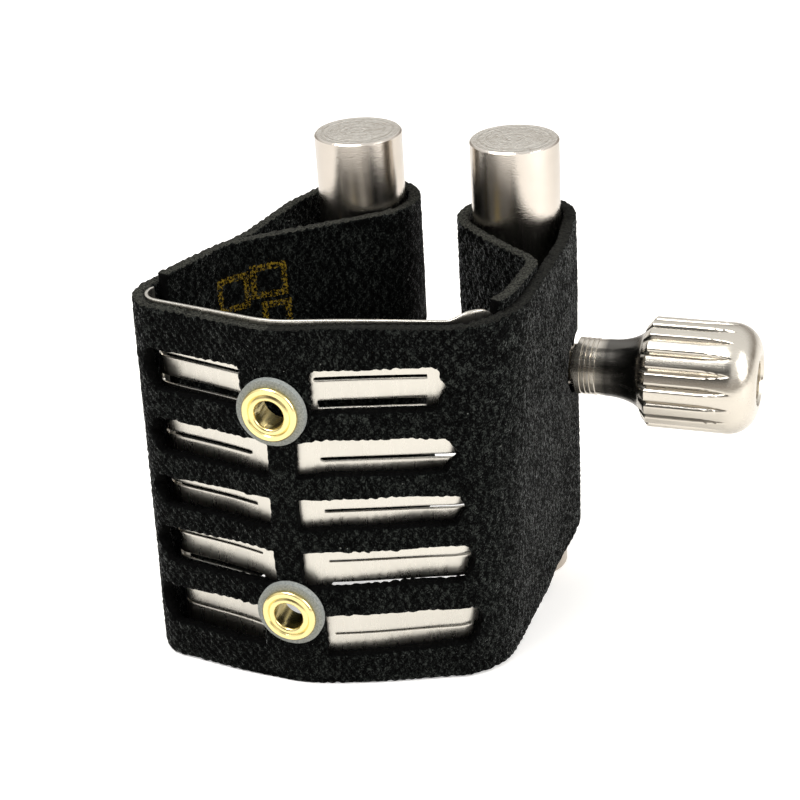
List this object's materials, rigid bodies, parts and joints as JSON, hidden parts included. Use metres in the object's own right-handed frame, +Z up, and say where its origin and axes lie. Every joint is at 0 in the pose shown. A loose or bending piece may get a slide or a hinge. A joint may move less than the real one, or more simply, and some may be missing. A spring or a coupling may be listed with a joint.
{
  "type": "saxophone ligature",
  "caption": "Fabric ligature: a strap folded round metal barrels that a knurled thumbscrew draws together, with a slotted steel plate behind windows.",
  "frame": {"origin": "on the mouthpiece's axis, at the height of the thumbscrew", "axes": "+Z up along the mouthpiece and the barrels, +X along the thumbscrew towards its grip, +Y from the windowed front towards the barrels"},
  "size_m": [0.0508, 0.0316, 0.0434],
  "materials": {
    "strap_fabric": "rubberised black weave",
    "plate_steel": "bright rolled spring steel",
    "eyelet_brass": "polished",
    "washer_fibre": "grey fibre",
    "barrel_metal": "satin turned",
    "screw_metal": "bright turned and knurled"
  },
  "bodies": {
    "front": {"strap_front": "strap_fabric", "cradle_plate": "plate_steel", "upper_eyelet": "eyelet_brass", "lower_eyelet": "eyelet_brass", "upper_washer": "washer_fibre", "lower_washer": "washer_fibre"},
    "left_arm": {"strap_left_arm": "strap_fabric"},
    "right_arm": {"strap_right_arm": "strap_fabric"},
    "left_barrel": {"left_barrel": "barrel_metal"},
    "right_barrel": {"right_barrel": "barrel_metal"},
    "thumbscrew": {"screw_stud": "screw_metal", "screw_grip": "screw_metal"}
  },
  "joints": [
    {"name": "left_arm_flex", "type": "hinge", "parent": "front", "child": "left_arm", "pos_m": [-0.0157, -0.00527, 0], "axis": [0, 0, 1], "range_deg": [-2.4, 1.8]},
    {"name": "right_arm_flex", "type": "hinge", "parent": "front", "child": "right_arm", "pos_m": [0.01572, -0.0031, 0], "axis": [0, 0, 1], "range_deg": [-5.6, 7.6]},
    {"name": "left_barrel_swivel", "type": "hinge", "parent": "left_arm", "child": "left_barrel", "pos_m": [-0.00284, 0.013, 0], "axis": [0, 0, 1], "range_deg": [-1.8, 2.4]},
    {"name": "right_barrel_swivel", "type": "hinge", "parent": "right_arm", "child": "right_barrel", "pos_m": [0.01184, 0.013, 0], "axis": [0, 0, 1], "range_deg": [-7.6, 5.6]},
    {"name": "screw_turn", "type": "hinge", "parent": "right_barrel", "child": "thumbscrew", "pos_m": [0.01184, 0.013, 0], "axis": [-1, 0, 0], "range_deg": [-990, 1386]}
  ],
  "couplings": [
    {"joint": "left_arm_flex", "follows": "screw_turn", "ratio": -0.0015553},
    {"joint": "right_arm_flex", "follows": "screw_turn", "ratio": 0.0051549},
    {"joint": "left_barrel_swivel", "follows": "screw_turn", "ratio": 0.0015553},
    {"joint": "right_barrel_swivel", "follows": "screw_turn", "ratio": -0.0051549}
  ]
}
